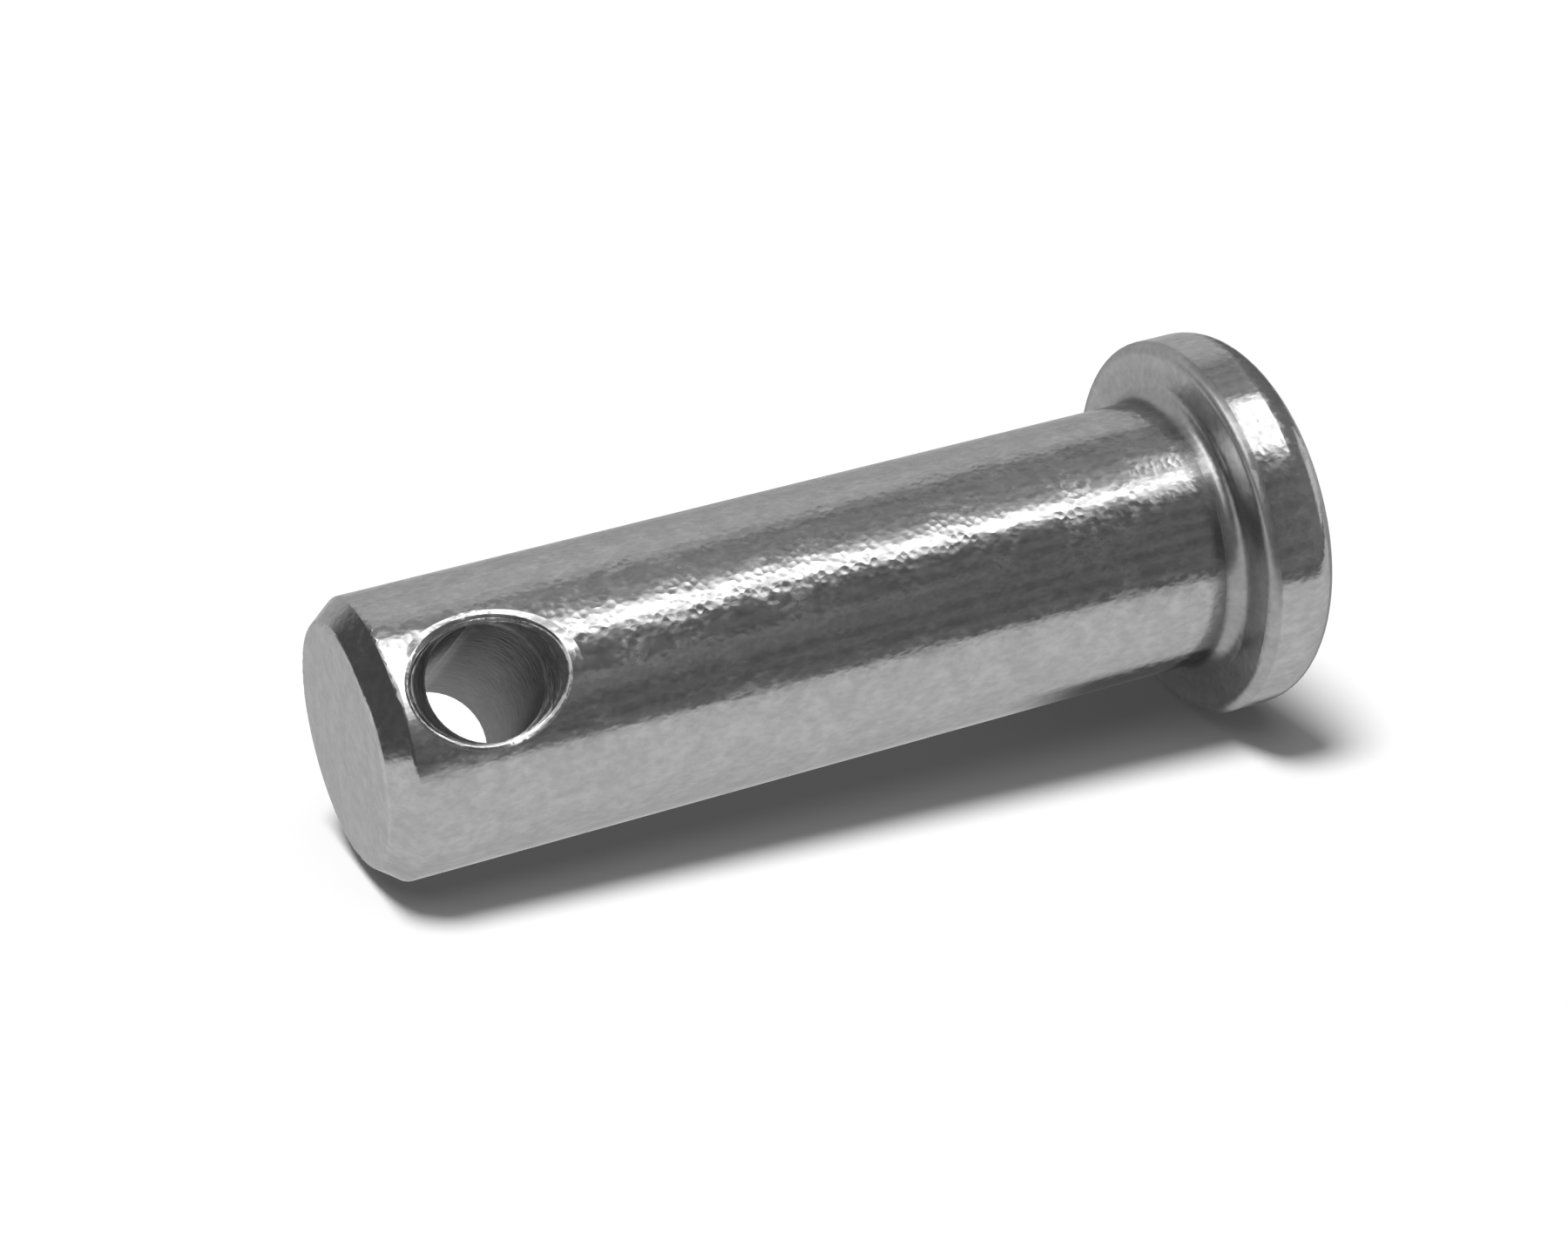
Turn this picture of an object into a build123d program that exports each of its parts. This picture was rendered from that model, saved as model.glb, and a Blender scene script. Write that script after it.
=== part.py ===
from build123d import *
from math import radians, tan
import os

# Clevis pin in millimetres: one headed, turned and cross-drilled piece of steel.
# It stands on the outer face of its head. The origin is the centre of that face, +Z runs up the
# shank to the tip, and the cross hole for a split pin runs along Y, near the tip.

# Head, at the bottom
head_diameter = 11.1
head_thickness = 2.4
head_outer_round = 1.0  # from the head's outer face to its rim
head_inner_round = 0.3  # from the rim to the underside, which bears on the clevis

# Shank, from the head's underside to the tip face
shank_diameter = 7.85  # a nominal 5/16 in pin, made undersize so that it slides in its fork
shank_length = 25.4
shank_fillet = 0.5  # in the corner between shank and head

# Tip
tip_face_diameter = 6.7
tip_chamfer_length = 0.75  # along the axis
tip_edge_round = 0.2  # at both ends of the chamfer

# Cross hole
hole_diameter = 3.2
hole_to_tip = 3.2  # from the hole's axis to the tip face
countersink_diameter = 4.4  # of the cone, level with the crown of the shank
countersink_angle = 100  # included angle of the cone
mouth_round = 0.18  # where the countersink meets the shank

head_radius = head_diameter / 2
shank_radius = shank_diameter / 2
hole_radius = hole_diameter / 2
overall_length = head_thickness + shank_length
hole_height = overall_length - hole_to_tip


def pin_blank():
    """The headed and chamfered pin before drilling: half of its section, turned about Z."""
    rim_foot = (head_radius, 0)
    rim_top = (head_radius, head_thickness)
    shank_foot = (shank_radius, head_thickness)
    chamfer_foot = (shank_radius, overall_length - tip_chamfer_length)
    tip_edge = (tip_face_diameter / 2, overall_length)
    outline = Polyline(
        (0, 0), rim_foot, rim_top, shank_foot, chamfer_foot, tip_edge, (0, overall_length), close=True
    )
    rounds = {
        rim_foot: head_outer_round,
        rim_top: head_inner_round,
        shank_foot: shank_fillet,
        chamfer_foot: tip_edge_round,
        tip_edge: tip_edge_round,
    }
    section = make_face(outline)
    for corner, radius in rounds.items():
        section = fillet(section.vertices().sort_by_distance(corner)[0], radius)
    return revolve(Plane.XZ * section, Axis.Z)


def hole_cutter():
    """The drill's path right through the shank, flared at each end by the countersink's cone."""
    cone_slope = tan(radians(countersink_angle / 2))
    cone_radius = countersink_diameter / 2
    cone_foot = shank_radius - (cone_radius - hole_radius) / cone_slope
    reach = shank_radius + cone_radius
    end_radius = cone_radius + (reach - shank_radius) * cone_slope
    outline = Polyline(
        (0, 0), (hole_radius, 0), (hole_radius, cone_foot), (end_radius, reach), (0, reach), close=True
    )
    half = revolve(make_face(outline), Axis.Y)
    cutter = half + mirror(half, Plane.XZ)
    return Pos(0, 0, hole_height) * cutter


def clevis_pin():
    """The finished pin: the blank, cross-drilled, with the mouths of the hole deburred."""
    blank = pin_blank()
    cutter = hole_cutter()
    drilled = blank - cutter
    cut_edges = new_edges(blank, cutter, combined=drilled)
    mouths = cut_edges.filter_by(GeomType.CIRCLE, reverse=True)
    return fillet(mouths, mouth_round)


os.makedirs("parts", exist_ok=True)
export_step(clevis_pin(), "parts/clevis_pin.step")
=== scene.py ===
"""Looks of the clevis pin: its metal, the floor it lies on, the studio light and the camera."""

import math

import bpy
from mathutils import Matrix, Quaternion, Vector


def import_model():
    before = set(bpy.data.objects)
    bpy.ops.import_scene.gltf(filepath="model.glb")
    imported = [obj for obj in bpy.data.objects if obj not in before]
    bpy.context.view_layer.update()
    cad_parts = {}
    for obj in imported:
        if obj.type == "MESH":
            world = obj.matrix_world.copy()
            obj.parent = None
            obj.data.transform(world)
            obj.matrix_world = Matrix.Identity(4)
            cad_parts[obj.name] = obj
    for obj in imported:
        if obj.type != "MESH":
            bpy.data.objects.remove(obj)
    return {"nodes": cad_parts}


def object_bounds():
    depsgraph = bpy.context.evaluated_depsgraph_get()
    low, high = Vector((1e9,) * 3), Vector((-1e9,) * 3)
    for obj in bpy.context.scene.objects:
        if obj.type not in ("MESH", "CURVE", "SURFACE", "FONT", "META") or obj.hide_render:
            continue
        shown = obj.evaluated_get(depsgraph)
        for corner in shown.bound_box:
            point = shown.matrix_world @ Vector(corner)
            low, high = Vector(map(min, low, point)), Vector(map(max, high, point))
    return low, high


MM = 0.001

# The pin, in millimetres from the foot of its head
HOLE_HEIGHT_MM = 24.6
HOLE_RADIUS_MM = 1.6
MOUTH_RADIUS_MM = 2.2  # of the countersink, level with the crown of the shank
MOUTH_SPREAD = math.tan(math.radians(50))  # of the countersink's wall, from the hole's axis
SHANK_RADIUS_MM = 3.925
SHANK_RADIUS = SHANK_RADIUS_MM * MM

# Camera, round the point it looks at on the pin's axis
LENS_MM = 82.6
AIM = Vector((0.11, -0.02, 14.83)) * MM
CAMERA_DISTANCE = 100.15 * MM
CAMERA_AZIMUTH = math.radians(-11.05)
CAMERA_ELEVATION = math.radians(21.3)
CAMERA_ROLL = math.radians(-104.64)

# The floor touches the head's rim and the tip, with the pin turned about its axis by FLOOR_TURN
HEAD_TOUCH_HEIGHT = 2.2 * MM
TIP_TOUCH_DROP = 0.78 * MM
FLOOR_TURN = math.radians(51.0)
FLOOR_SIZE = 0.8  # metres
FLOOR_COLOUR = 0.8
FLOOR_SEEN = 0.98  # the floor's colour for the camera, where it has to come out white
FLOOR_HAZE = 0.05  # over the shadows too, for the camera only

# The floor as the metal reflects it
FLOOR_IN_METAL = 0.85
BEYOND_IN_METAL = 0.15  # past the front edge of the white floor
FOOT_IN_METAL = 0.15  # the shaded floor at the head's foot
FRONT_EDGE = 26.5 * MM
FRONT_EDGE_SLOPE = 0.2
FRONT_EDGE_BLUR = 2 * MM

# Lamps: share of the floor's light, width, and lean from straight above the floor
MAIN_LAMP = (0.82, math.radians(19), math.radians(-1.2), math.radians(12))
FRONT_LAMP = (0.15, math.radians(62), math.radians(-12), math.radians(8))
WORLD_SHARE = 0.03
THROWN_BACK = 0.12  # of the light that the floor would get back from the pin

# Depths of the metal's texture, in millimetres
DIMPLE_DEPTH = 0.0095
MARK_DEPTH = 0.006
GRAIN_DEPTH = 0.005
SWELL_DEPTH = 0.010
RING_DEPTH = 0.03  # of the drill's rings in the hole
LIP_WIDTH_MM = 0.38
LIP_SLOPE = 0.29

# Roughness of the metal
BRIGHT_ROUGHNESS = 0.14
FROST_ROUGHNESS = 0.17  # added where the zinc is frosted
BORE_ROUGHNESS = 0.48
SEAT_ROUGHNESS = 0.3
EDGE_ROUGHNESS = 0.36
EDGE_TINT = 0.68  # of the metal's reflection at a grazing angle

# The screen that the metal reflects: degrees round the pin and millimetres along it
TENT_RADIUS = 31 * MM
TENT_TURNS = (-46, 152)
TENT_TURN_STEP = 1.5
TENT_HEIGHTS = (-90, 120)
TENT_HEIGHT_STEP = 2

# Bars of light on the screen: turns, soft edge, heights, soft edge, brightness
TIP_BAR = ((9, 72), 3, (18.5, 22), 1, 3.6)
HIGH_BAR = ((32, 66), 3, (20, 40), 2, 3.2)
DIM_BAR = ((17, 40), 3, (20, 36), 2, 0.9)
HEAD_BAR = ((27, 62), 3, (-17, -12.2), 0.8, 3.8)

# Brightness of the screen's other parts
BOX_LEVEL = 3.5  # the long soft box over the shank
WALL_LEVEL = 0.18
WALL_RIPPLE = 0.05
LINE_LEVEL = 0.12  # a faint line that faces the camera
FOLDS_LEVEL = 0.13  # a folded cloth beside the box
FOLDS_RIPPLE = 0.15
GLOW_LEVEL = 0.35  # from the box over the cloth
GLOW_FADE = 18  # degrees
UPPER_LEVEL = 0.42  # the pale wall over the pin
HEAD_SIDE_LEVEL = 0.1
END_LEVEL = 0.12  # beyond both ends of the pin
PAST_HEAD_LEVEL = 0.14  # and a little more past the head


def floor_frame(low, high):
    """The floor's own axes, as a matrix: X towards the head, Y away from the viewer, Z up."""
    head_radius = high.x
    tip_height = high.z - TIP_TOUCH_DROP
    down = Vector((-math.sin(FLOOR_TURN), math.cos(FLOOR_TURN), 0))
    head_touch = down * head_radius + Vector((0, 0, HEAD_TOUCH_HEIGHT))
    tip_touch = down * SHANK_RADIUS + Vector((0, 0, tip_height))
    towards_head = (head_touch - tip_touch).normalized()
    away = Vector((0, 0, -1)).cross(down).normalized()
    up = towards_head.cross(away)
    if up.dot(down) > 0:
        away = -away
        up = -up
    axes = Matrix((towards_head, away, up)).transposed().to_4x4()
    axes.translation = (head_touch + tip_touch) / 2
    return axes


def new_material(name):
    material = bpy.data.materials.new(name)
    material.use_nodes = True
    material.node_tree.nodes.clear()
    return material, material.node_tree


def node(tree, kind, inputs=None, **settings):
    """A shader node, with numbers or links given by the names or numbers of its inputs."""
    made = tree.nodes.new(kind)
    for key, value in settings.items():
        setattr(made, key, value)
    for key, value in (inputs or {}).items():
        if isinstance(value, bpy.types.NodeSocket):
            tree.links.new(value, made.inputs[key])
        else:
            made.inputs[key].default_value = value
    return made


def grey(level):
    return (level, level, level, 1)


class Pattern:
    """Short names for the nodes that a procedural pattern is made of."""

    def __init__(self, tree):
        self.tree = tree

    def apply(self, operation, *values):
        """One step of arithmetic."""
        inputs = dict(enumerate(values))
        return node(self.tree, "ShaderNodeMath", inputs, operation=operation).outputs[0]

    def chain(self, operation, first, *others):
        for other in others:
            first = self.apply(operation, first, other)
        return first

    def times(self, *values):
        return self.chain("MULTIPLY", *values)

    def plus(self, *values):
        return self.chain("ADD", *values)

    def minus(self, value, taken):
        return self.apply("SUBTRACT", value, taken)

    def largest(self, *values):
        return self.chain("MAXIMUM", *values)

    def scaled(self, vector, factors):
        inputs = {0: vector, 1: factors}
        made = node(self.tree, "ShaderNodeVectorMath", inputs, operation="MULTIPLY")
        return made.outputs["Vector"]

    def shifted(self, vector, amount):
        made = node(self.tree, "ShaderNodeVectorMath", {0: vector, 1: amount}, operation="ADD")
        return made.outputs["Vector"]

    def noise(self, vector, scale, detail=2.0, roughness=0.5):
        inputs = {"Vector": vector, "Scale": scale, "Detail": detail, "Roughness": roughness}
        return node(self.tree, "ShaderNodeTexNoise", inputs).outputs["Fac"]

    def cells(self, vector, scale):
        """The distance to the middle of the nearest of many small cells."""
        inputs = {"Vector": vector, "Scale": scale}
        return node(self.tree, "ShaderNodeTexVoronoi", inputs).outputs["Distance"]

    def ramp(self, value, start, end, low=0.0, high=1.0):
        """Low before start, high after end, and a smooth step between."""
        inputs = {
            "Value": value,
            "From Min": start,
            "From Max": end,
            "To Min": low,
            "To Max": high,
        }
        settings = {"interpolation_type": "SMOOTHSTEP"}
        return node(self.tree, "ShaderNodeMapRange", inputs, **settings).outputs["Result"]

    def factor(self, mask, inside):
        """1 where the mask is 0, and the given number where it is 1."""
        return self.ramp(mask, 0.0, 1.0, 1.0, inside)

    def grey(self, value):
        inputs = {"Red": value, "Green": value, "Blue": value}
        return node(self.tree, "ShaderNodeCombineColor", inputs).outputs["Color"]


def texture_depth(p, place, x, z, patches):
    """Height of the drawn and tumbled surface: dimples, long shallow marks, grain and swell."""
    along = p.scaled(place, (1.0, 1.0, 0.6))
    along_far = p.scaled(place, (1.0, 1.0, 0.22))
    # The dimples are weaker low on the pin as it lies, at the tip and towards the head
    dimples = p.times(
        p.ramp(p.cells(place, 4.4), 0.0, 0.8),
        p.ramp(x, -1.7, -0.7, 0.15, 1.0),
        p.ramp(z, 25.6, 26.3, 1.0, 0.35),
        p.ramp(z, 1.8, 9.0, 0.35, 1.0),
    )
    marks = p.noise(p.shifted(along_far, (7, 3, 1)), 2.6, 1.0, 0.5)
    grain = p.noise(along, 5.0, 1.5, 0.55)
    swell = p.noise(along_far, 0.9, 1.0)
    depth = p.plus(p.times(dimples, DIMPLE_DEPTH), p.times(marks, MARK_DEPTH))
    depth = p.times(depth, patches)
    return p.plus(depth, p.times(grain, GRAIN_DEPTH), p.times(swell, SWELL_DEPTH))


def hole_distances(p, x_squared, z_off):
    """Distance from the hole's axis, and from the countersink's mouth on the round shank."""
    hole_distance = p.apply("SQRT", p.plus(x_squared, p.times(z_off, z_off)))
    crown_height = p.apply("SQRT", p.largest(p.minus(SHANK_RADIUS_MM**2, x_squared), 0.0))
    crown_drop = p.minus(SHANK_RADIUS_MM, crown_height)
    mouth = p.minus(MOUTH_RADIUS_MM, p.times(crown_drop, MOUTH_SPREAD))
    from_mouth = p.minus(hole_distance, p.largest(mouth, HOLE_RADIUS_MM))
    return hole_distance, from_mouth


def lip_depth(p, from_mouth, x, z_off):
    """A lip that leans in along one side of the hole's mouth, away from the tip."""
    lip = p.apply("MINIMUM", p.minus(from_mouth, LIP_WIDTH_MM), 0.0)
    lip = p.times(p.largest(lip, -LIP_WIDTH_MM), LIP_SLOPE)
    return p.times(lip, p.ramp(z_off, 1.0, 1.9, 1.0, 0.0), p.ramp(x, -0.3, 1.0))


def zinc_plated_steel():
    material, tree = new_material("zinc_plated_steel_look")
    p = Pattern(tree)
    place = node(tree, "ShaderNodeTexCoord").outputs["Object"]
    place = p.scaled(place, (1000, 1000, 1000))  # metres to millimetres
    split = node(tree, "ShaderNodeSeparateXYZ", {0: place})
    x, y, z = split.outputs[0], split.outputs[1], split.outputs[2]
    x_squared = p.times(x, x)
    radius = p.apply("SQRT", p.plus(x_squared, p.times(y, y)))
    z_off = p.minus(z, HOLE_HEIGHT_MM)
    hole_distance, from_mouth = hole_distances(p, x_squared, z_off)

    # Where the metal differs: patches of deeper texture, the hole's wall, and the head's corner,
    # seat and edge; the hole's wall, countersink, corner and edge also get painted shade in their
    # colour. The seat under the head is at z = 2.4 and the tip's face at z = 27.8.
    patches = p.ramp(p.noise(place, 0.6, 2.0), 0.4, 0.62, 0.3, 1.0)
    # the hole's wall: duller and ringed by the drill, its colour darkened partly for the drilled
    # steel and partly with painted shade in the hole
    drilled_wall_and_shade = p.ramp(from_mouth, -0.24, -0.12, 1.0, 0.0)
    # painted shade over the countersink's cone round the hole
    countersink_shade = p.times(drilled_wall_and_shade, p.ramp(hole_distance, HOLE_RADIUS_MM + 0.02, HOLE_RADIUS_MM + 0.1))
    # the fillet under the head: duller, and darkened with painted shade in the corner
    corner = p.times(
        p.ramp(z, 2.0, 2.35),
        p.ramp(z, 2.7, 3.5, 1.0, 0.0),
        p.ramp(radius, 4.5, 5.5, 1.0, 0.2),
    )
    seat = p.times(p.ramp(z, 2.0, 2.25), p.ramp(radius, 4.2, 4.7))
    # the round at the rim's inner edge: duller, and darkened with painted shade that dims its
    # reflection
    edge = p.times(p.ramp(z, 2.0, 2.15), p.ramp(radius, 5.1, 5.3))

    rings = p.noise(p.scaled(place, (1.0, 6.0, 1.0)), 1.6, 2.0, 0.6)
    depth = p.plus(
        texture_depth(p, place, x, z, patches),
        lip_depth(p, from_mouth, x, z_off),
        p.times(rings, drilled_wall_and_shade, RING_DEPTH),
    )
    bump = node(tree, "ShaderNodeBump", {"Height": depth, "Strength": 1.0, "Distance": MM})

    # Small spots are frosted, others still bright; the hole, seat and edge are duller
    along = p.scaled(place, (1.0, 1.0, 0.6))
    frost = p.ramp(p.noise(p.shifted(along, (3, 8, 4)), 5.0, 1.0, 0.5), 0.36, 0.72)
    frost = p.times(frost, patches)
    roughness = p.largest(
        p.plus(p.times(frost, FROST_ROUGHNESS), BRIGHT_ROUGHNESS),
        p.times(drilled_wall_and_shade, BORE_ROUGHNESS),
        p.times(p.largest(corner, seat), SEAT_ROUGHNESS),
        p.times(edge, EDGE_ROUGHNESS),
    )

    blotches = p.noise(p.shifted(place, (2, 9, 5)), 1.5, 3.0, 0.6)
    shade = p.times(
        p.ramp(p.noise(along, 5.0, 3.0, 0.6), 0.3, 0.7, 0.415, 0.48),
        p.ramp(blotches, 0.4, 0.68, 0.97, 1.08),
        # painted shade in the hole, partly the drilled steel's own darker tone
        p.factor(drilled_wall_and_shade, 0.5),
        # painted shade in the countersink
        p.factor(countersink_shade, 0.62),
        p.ramp(z, 27.7, 27.78, 1.0, 1.1),  # painted light: the tip's face is made a little paler
        # painted shade in the corner under the head
        p.factor(corner, 0.8),
        # painted shade on the rim's inner round, dimming its reflection
        p.factor(edge, 0.88),
    )

    shader = node(
        tree,
        "ShaderNodeBsdfPrincipled",
        {
            "Base Color": p.grey(shade),
            "Metallic": 1.0,
            "Roughness": roughness,
            "Specular Tint": grey(EDGE_TINT),
            "Normal": bump.outputs["Normal"],
        },
    )
    node(tree, "ShaderNodeOutputMaterial", {"Surface": shader.outputs["BSDF"]})
    return material


def ray_kinds(tree):
    """The light path, and two masks for what the floor, screen and sky show to each ray.

    The first is 1 for what is seen directly or in the pin, and low for light that the pin
    would throw back to the floor, so that its shadow is deep. The second is the same for the
    camera, mirrors and glass, and 0 for the rays that light the floor.
    """
    path = node(tree, "ShaderNodeLightPath")
    p = Pattern(tree)
    seen = p.largest(
        path.outputs["Is Camera Ray"],
        path.outputs["Is Glossy Ray"],
        path.outputs["Is Transmission Ray"],
    )
    direct = p.factor(path.outputs["Diffuse Depth"], THROWN_BACK)
    return path, direct, p.times(seen, direct)


def emission(tree, strength):
    glow = {"Color": grey(1.0), "Strength": strength}
    return node(tree, "ShaderNodeEmission", glow).outputs[0]


def mixed(tree, factor, first, second):
    """The first shader where the factor is 0, the second where it is 1."""
    return node(tree, "ShaderNodeMixShader", {0: factor, 1: first, 2: second}).outputs[0]


def floor_in_metal(tree, direct):
    """How bright the metal sees each place of the floor."""
    p = Pattern(tree)
    place = node(tree, "ShaderNodeTexCoord").outputs["Object"]
    split = node(tree, "ShaderNodeSeparateXYZ", {0: place})
    to_head, away = split.outputs[0], split.outputs[1]
    depth = p.plus(away, p.times(to_head, -FRONT_EDGE_SLOPE))
    front = (-FRONT_EDGE - FRONT_EDGE_BLUR, -FRONT_EDGE + FRONT_EDGE_BLUR)
    level = p.ramp(depth, *front, BEYOND_IN_METAL, FLOOR_IN_METAL)
    # The pin's own shade at the head's foot, fading away from the viewer and past the head
    foot = p.times(
        p.ramp(to_head, 6 * MM, 9.5 * MM),
        p.ramp(away, -2.9 * MM, -2.1 * MM),
        p.ramp(away, 6 * MM, 20 * MM, 1.0, 0.3),
        p.ramp(to_head, 15 * MM, 19 * MM, 1.0, 0.45),
    )
    level = p.minus(level, p.times(foot, FLOOR_IN_METAL - FOOT_IN_METAL))
    return p.times(level, direct)


def floor(axes):
    """The white floor: diffuse for the camera, a painted glow for the metal, clear from below."""
    bpy.ops.mesh.primitive_plane_add(size=FLOOR_SIZE)
    plane = bpy.context.object
    plane.name = "floor"
    plane.matrix_world = axes
    material, tree = new_material("pale_floor")
    path, direct, seen = ray_kinds(tree)
    colours = {"Factor": seen, "A": grey(FLOOR_COLOUR), "B": grey(FLOOR_SEEN)}
    colour = node(tree, "ShaderNodeMix", colours, data_type="RGBA")
    paint = node(tree, "ShaderNodeBsdfDiffuse", {"Color": colour.outputs["Result"]})
    haze = emission(tree, Pattern(tree).times(path.outputs["Is Camera Ray"], FLOOR_HAZE))
    paint = node(tree, "ShaderNodeAddShader", {0: paint.outputs[0], 1: haze})
    shine = emission(tree, floor_in_metal(tree, direct))
    front = mixed(tree, path.outputs["Is Glossy Ray"], paint.outputs[0], shine)
    from_below = node(tree, "ShaderNodeNewGeometry").outputs["Backfacing"]
    clear = node(tree, "ShaderNodeBsdfTransparent").outputs[0]
    surface = mixed(tree, from_below, front, clear)
    node(tree, "ShaderNodeOutputMaterial", {"Surface": surface})
    material.cycles.emission_sampling = "NONE"
    plane.data.materials.append(material)


def world():
    """A white sky for the camera and the metal, which gives only a small share of the light."""
    made = bpy.data.worlds.new("studio")
    bpy.context.scene.world = made
    made.use_nodes = True
    tree = made.node_tree
    tree.nodes.clear()
    seen = ray_kinds(tree)[2]
    levels = {"Value": seen, "To Min": WORLD_SHARE, "To Max": 1.0}
    level = node(tree, "ShaderNodeMapRange", levels)
    glow = {"Color": grey(1.0), "Strength": level.outputs["Result"]}
    background = node(tree, "ShaderNodeBackground", glow)
    node(tree, "ShaderNodeOutputWorld", {"Surface": background.outputs[0]})


def lamp(name, axes, share, angle, lean_back, lean_to_tip):
    """A sun over the floor that the metal doesn't reflect."""
    towards_head, away, up = (axes.to_3x3().col[i] for i in range(3))
    source = up + away * math.tan(lean_back) - towards_head * math.tan(lean_to_tip)
    data = bpy.data.lights.new(name, "SUN")
    data.energy = share * math.pi / source.normalized().dot(up)
    data.angle = angle
    made = bpy.data.objects.new(name, data)
    bpy.context.scene.collection.objects.link(made)
    made.rotation_mode = "QUATERNION"
    made.rotation_quaternion = source.to_track_quat("Z", "Y")
    made.visible_glossy = False


def camera():
    """The photo's camera, rolled because the pin stands here and lies in the photo."""
    data = bpy.data.cameras.new("camera")
    data.lens = LENS_MM
    data.clip_start = MM
    made = bpy.data.objects.new("camera", data)
    bpy.context.scene.collection.objects.link(made)
    back = Vector(
        (
            math.sin(CAMERA_AZIMUTH) * math.cos(CAMERA_ELEVATION),
            -math.cos(CAMERA_AZIMUTH) * math.cos(CAMERA_ELEVATION),
            math.sin(CAMERA_ELEVATION),
        )
    )
    made.location = AIM + back * CAMERA_DISTANCE
    level = back.to_track_quat("Z", "Y")
    made.rotation_mode = "QUATERNION"
    made.rotation_quaternion = Quaternion(back, CAMERA_ROLL) @ level
    bpy.context.scene.camera = made


def step(value, start, end):
    """0 before start, 1 after end, smooth between."""
    t = min(max((value - start) / (end - start), 0), 1)
    return t * t * (3 - 2 * t)


def between(value, low, high, edge):
    """1 between low and high, 0 outside, with soft edges."""
    return step(value, low - edge, low + edge) * (1 - step(value, high - edge, high + edge))


def bar(turn, height, turns, turn_edge, heights, height_edge, brightness):
    """One bar of light on the tent."""
    inside = between(turn, *turns, turn_edge) * between(height, *heights, height_edge)
    return brightness * inside


def soft_box(off, along):
    """The long box over the shank: off is degrees from its middle, along grows to the tip."""
    width = 5.2 + 2.5 * along if off > 0 else 3.6 + 1.8 * along
    return BOX_LEVEL * math.exp(-((off / width) ** 2))


def wave(turn, count):
    """A wave with this many crests in a full turn round the pin."""
    return math.sin(math.radians(turn * count))


def tent_level(turn, height):
    """Brightness of the tent at a turn (0 faces the camera) and a height along the pin."""
    along = step(height, -12, 16)
    level = WALL_LEVEL + WALL_RIPPLE * wave(turn, 30)
    level += LINE_LEVEL * along * between(turn, -7, 7, 2)
    off = turn - (37.5 + 5.5 * along)  # from the middle of the soft box
    level += (FOLDS_LEVEL + FOLDS_RIPPLE * wave(turn, 42)) * step(off, 4, 12)
    if off > 0:
        level += GLOW_LEVEL * math.exp(-off / GLOW_FADE)
    upper = 101 - 13 * along
    level += UPPER_LEVEL * step(turn, upper - 10, upper + 6)
    level += HEAD_SIDE_LEVEL * step(-height, 12, 14)
    # Dark beyond both ends of the pin, but past the tip only on the camera's side
    side = 1 - step(turn, 115, 140)
    past_head = step(-height, 17, 22)
    dark = max(step(height, 32, 36) * side, past_head)
    level += (END_LEVEL + PAST_HEAD_LEVEL * past_head - level) * dark
    box = soft_box(off, along) * step(height, -11.5, -9.5) * (1 - dark)
    high_bar = bar(turn, height, *HIGH_BAR) * (1 - 0.7 * step(height, 28, 32))
    other_bars = [bar(turn, height, *shape) for shape in (TIP_BAR, DIM_BAR, HEAD_BAR)]
    return level + max(box, high_bar, *other_bars)


def steps(ends, stride):
    """Even steps from the first end to the last."""
    return [ends[0] + i * stride for i in range(int((ends[1] - ends[0]) / stride) + 1)]


def tent_mesh(radius):
    """The curved screen round the pin's axis, with the level of light at each point."""
    turns = steps(TENT_TURNS, TENT_TURN_STEP)
    heights = steps(TENT_HEIGHTS, TENT_HEIGHT_STEP)
    verts, levels, faces = [], [], []
    for turn in turns:
        angle = math.radians(turn) + CAMERA_AZIMUTH
        for height in heights:
            verts.append((radius * math.sin(angle), -radius * math.cos(angle), height * MM))
            levels.append(tent_level(turn, height))
    rows = len(heights)
    for i in range(len(turns) - 1):
        for k in range(rows - 1):
            corner = i * rows + k
            faces.append((corner, corner + rows, corner + rows + 1, corner + 1))
    mesh = bpy.data.meshes.new("light_tent")
    mesh.from_pydata(verts, [], faces)
    mesh.attributes.new("level", "FLOAT", "POINT").data.foreach_set("value", levels)
    return mesh


def tent(radius):
    """The studio's light and dark on a curved screen that only the metal sees."""
    mesh = tent_mesh(radius)
    made = bpy.data.objects.new("light_tent", mesh)
    bpy.context.scene.collection.objects.link(made)
    material, tree = new_material("light_tent")
    level = node(tree, "ShaderNodeAttribute", attribute_name="level").outputs["Fac"]
    level = Pattern(tree).times(level, ray_kinds(tree)[1])
    node(tree, "ShaderNodeOutputMaterial", {"Surface": emission(tree, level)})
    material.cycles.emission_sampling = "NONE"
    mesh.materials.append(material)
    made.visible_camera = False
    made.visible_diffuse = False
    made.visible_shadow = False
    made.visible_transmission = False


def main():
    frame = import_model()
    low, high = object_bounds()
    scene = bpy.context.scene
    scene.view_settings.view_transform = "Standard"
    pin = frame["nodes"]["clevis_pin"]
    pin.data.materials[0] = zinc_plated_steel()
    axes = floor_frame(low, high)
    camera()
    floor(axes)
    world()
    lamp("main_lamp", axes, *MAIN_LAMP)
    lamp("front_lamp", axes, *FRONT_LAMP)
    tent(TENT_RADIUS)


main()
